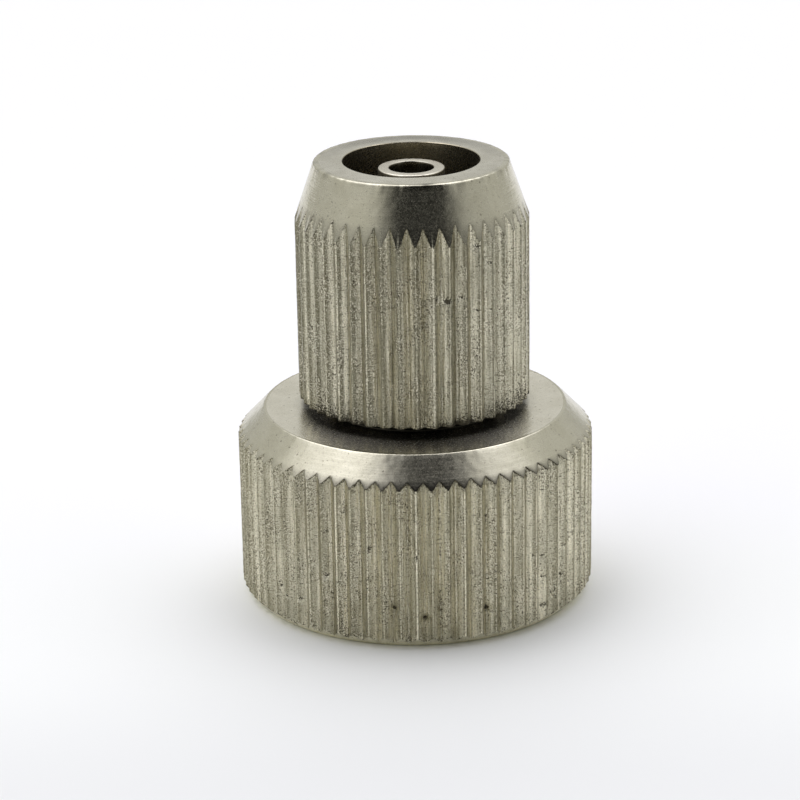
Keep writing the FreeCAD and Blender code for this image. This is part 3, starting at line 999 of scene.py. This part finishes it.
def hose_nipple():
    """Nipple with a real male thread, the clamping cone and the spigot."""
    turned, bright, inner = 0, 1, 2
    angles = circle(NIPPLE_POINTS)
    rings = []
    lower = [
        (BORE_ENTRY_RADIUS, FLANGE_BOTTOM, BORE_ENTRY_ROUNDING),
        (FLANGE_RADIUS, FLANGE_BOTTOM, FLANGE_ROUNDING),
        (FLANGE_RADIUS, FLANGE_TOP, FLANGE_ROUNDING),
        (NECK_RADIUS, FLANGE_TOP),
        (NECK_RADIUS, NECK_TOP, NECK_ROUNDING),
        (CLAMP_THREAD_ROOT, NECK_TOP),
    ]
    # Near its top the neck is dark: painted shade in the gap under the clamp nut.
    for radius, height in turned_outline(lower):
        rings.append(ring(angles, radius, height, turned, 1.0 if height > NECK_SHADE_HEIGHT else 0.0))

    def cut(at, height):
        radius = thread_radius(at, height, CLAMP_THREAD_PITCH, CLAMP_THREAD_RADIUS, CLAMP_THREAD_ROOT,
                               THREAD_CREST_SHARE, THREAD_ROOT_SHARE)
        start = CLAMP_THREAD_ROOT + np.maximum(height - NIPPLE_THREAD_BOTTOM, 0)
        end = CLAMP_THREAD_RADIUS - THREAD_CHAMFER - THREAD_END_CUT
        return np.minimum(np.minimum(radius, start), end + np.maximum(NIPPLE_THREAD_TOP - height, 0))

    rings += helix_rings(angles, NIPPLE_THREAD_BOTTOM, NIPPLE_THREAD_TOP, CLAMP_THREAD_PITCH,
                         CLAMP_THREAD_ROWS, cut, turned)
    upper = [
        (NIPPLE_CONE_RADIUS, NIPPLE_THREAD_TOP),
        (SPIGOT_RADIUS, NIPPLE_CONE_TOP),
        (SPIGOT_RADIUS, SPIGOT_MIDDLE),
        (SPIGOT_RADIUS, SPIGOT_TOP, SPIGOT_ROUNDING),
        (BORE_EDGE_RADIUS, SPIGOT_TOP, BORE_EDGE_ROUNDING),
        (BORE_RADIUS, BORE_HEIGHTS[0]),
    ]
    for radius, height in turned_outline(upper, 4)[:-1]:
        rings.append(ring(angles, radius, height, bright))
    # The bore is darkened with painted shade.
    for height in BORE_HEIGHTS:
        rings.append(ring(angles, BORE_RADIUS, height, inner, BORE_SHADE))
    return rings, (turned_face, bright_face, inner_face)


def sealing_washer():
    """Flat rubber ring with softly rounded edges."""
    angles = circle(WASHER_POINTS)
    corners = [
        (WASHER_HOLE_RADIUS, WASHER_BOTTOM, WASHER_ROUNDING),
        (WASHER_RADIUS, WASHER_BOTTOM, WASHER_ROUNDING),
        (WASHER_RADIUS, WASHER_TOP, WASHER_ROUNDING),
        (WASHER_HOLE_RADIUS, WASHER_TOP, WASHER_ROUNDING),
    ]
    return [ring(angles, radius, height, 0) for radius, height in turned_outline(corners)], (rubber,)


# Each piece: its name, what makes it, the body that it rides on, the node that it replaces and its slot
PIECES = (
    ("union_nut_turned", union_nut, "union", "union_nut", "union_nut_plating"),
    ("clamp_nut_turned", clamp_nut, "clamp", "clamp_nut", "clamp_nut_plating"),
    ("hose_nipple_turned", hose_nipple, "nipple", "hose_nipple", "nipple_plating"),
    ("sealing_washer_moulded", sealing_washer, "union", "sealing_washer", "washer_rubber"),
)
for name, build, body, node, slot in PIECES:
    rings, materials = build()
    piece = ring_mesh(name, rings, materials)
    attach(piece, body)
    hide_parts(node)

# Floor, with its half width and its drop below the object in metres. Its colour changes twice from the
# front to the back, between these places along Y in millimetres, darker at the front as painted shade.

FLOOR_HALF = 0.6
FLOOR_DROP = 0.00001
FLOOR_SHADED_NEAR = (0.86, 0.872, 0.85)
FLOOR_MIDDLE = (0.965, 0.98, 0.945)
FLOOR_FAR = (0.97, 0.975, 0.965)
FLOOR_FIRST_CHANGE = (-26.0, -9.0)
FLOOR_SECOND_CHANGE = (-2.0, 14.0)


def make_floor():
    """Pale floor with painted shade that gets a little darker towards the front."""
    half = FLOOR_HALF
    corners = [(-half, -half, 0), (half, -half, 0), (half, half, 0), (-half, half, 0)]
    mesh = bpy.data.meshes.new("floor")
    mesh.from_pydata(corners, [], [(0, 1, 2, 3)])
    floor = bpy.data.objects.new("floor", mesh)
    floor.location.z = -FLOOR_DROP
    bpy.context.scene.collection.objects.link(floor)
    material, tree, shader = new_material("floor_white")
    along = new_node(tree, "ShaderNodeSeparateXYZ", {0: place_in_mm(tree)}).outputs[1]
    tone = mix_colour(tree, ramp(tree, along, *FLOOR_FIRST_CHANGE), FLOOR_SHADED_NEAR, FLOOR_MIDDLE)
    tone = mix_colour(tree, ramp(tree, along, *FLOOR_SECOND_CHANGE), tone, FLOOR_FAR)
    tree.links.new(tone, shader.inputs["Base Color"])
    shader.inputs["Roughness"].default_value = 0.6
    shader.inputs["Specular IOR Level"].default_value = 0.2
    mesh.materials.append(material)


# Light

TENT_LIGHT = 0.62
TENT_TINT = (1.0, 0.998, 0.98)
GLOW_TINT = (0.985, 0.976, 1.045)
SLIT_HEIGHT = 0.33
SLIT_LIGHT = 0.02


def make_world():
    """Soft light tent: bright above and at the sides, with a dark slit at the front."""
    world = bpy.data.worlds.new("tent")
    bpy.context.scene.world = world
    world.use_nodes = True
    tree = world.node_tree
    tree.nodes.clear()
    direction = tree.nodes.new("ShaderNodeTexCoord").outputs["Generated"]
    to_right, to_back, upward = new_node(tree, "ShaderNodeSeparateXYZ", {0: direction}).outputs

    def glow(towards, narrow, wide, strength):
        """Soft lamp in the tent, full within the cosine narrow and gone past the cosine wide."""
        towards = tuple(Vector(towards).normalized())
        dot = new_node(tree, "ShaderNodeVectorMath", {0: direction, 1: towards}, operation="DOT_PRODUCT")
        return ramp(tree, dot.outputs["Value"], wide, narrow, 0.0, strength)

    left_glow = glow((-0.48, -0.12, 0.87), narrow=0.975, wide=0.76, strength=0.70)
    right_glow = glow((0.50, -0.14, 0.85), narrow=0.985, wide=0.86, strength=0.54)
    top_glow = glow((0.0, 0.30, 0.95), narrow=0.95, wide=0.72, strength=1.9)
    glows = plus(tree, plus(tree, left_glow, right_glow), top_glow)
    tint = mix_colour(tree, ramp(tree, glows, 0.0, 0.9), TENT_TINT, GLOW_TINT)

    # The slit narrows upwards. It is closed behind the object, and partly closed just above the floor.
    above = minus(tree, upward, SLIT_HEIGHT)
    left = plus(tree, times(tree, to_right, -1.0), times(tree, above, 0.38))
    left = ramp(tree, left, 0.22, 0.78)
    lift = larger(tree, above, 0.0)
    right_low = minus(tree, 0.46, times(tree, lift, 0.38))
    right_high = minus(tree, 0.96, times(tree, lift, 0.71))
    right = ramp(tree, to_right, right_low, right_high)
    right = times(tree, right, ramp(tree, upward, 0.0, 0.3, 1.0, 0.72))
    behind = ramp(tree, to_back, -0.20, 0.15)
    near_floor = ramp(tree, upward, 0.16, 0.02, 0.0, 0.7)
    tent = larger(tree, larger(tree, larger(tree, left, right), behind), near_floor)
    tent = ramp(tree, tent, 0.0, 1.0, SLIT_LIGHT, 1.0)

    light = times(tree, plus(tree, glows, TENT_LIGHT), tent)
    light = times(tree, light, ramp(tree, upward, 0.05, 0.3, 0.87, 1.0))
    lit = new_node(tree, "ShaderNodeBackground", {"Strength": light, "Color": tint})
    seen = new_node(tree, "ShaderNodeBackground", {"Strength": 1.0, "Color": (1, 1, 1, 1)})
    camera_ray = tree.nodes.new("ShaderNodeLightPath").outputs["Is Camera Ray"]
    both = new_node(tree, "ShaderNodeMixShader", {0: camera_ray, 1: lit.outputs[0], 2: seen.outputs[0]})
    output = tree.nodes.new("ShaderNodeOutputWorld")
    tree.links.new(both.outputs[0], output.inputs[0])


make_floor()
make_world()
bpy.context.scene.view_settings.view_transform = "Standard"
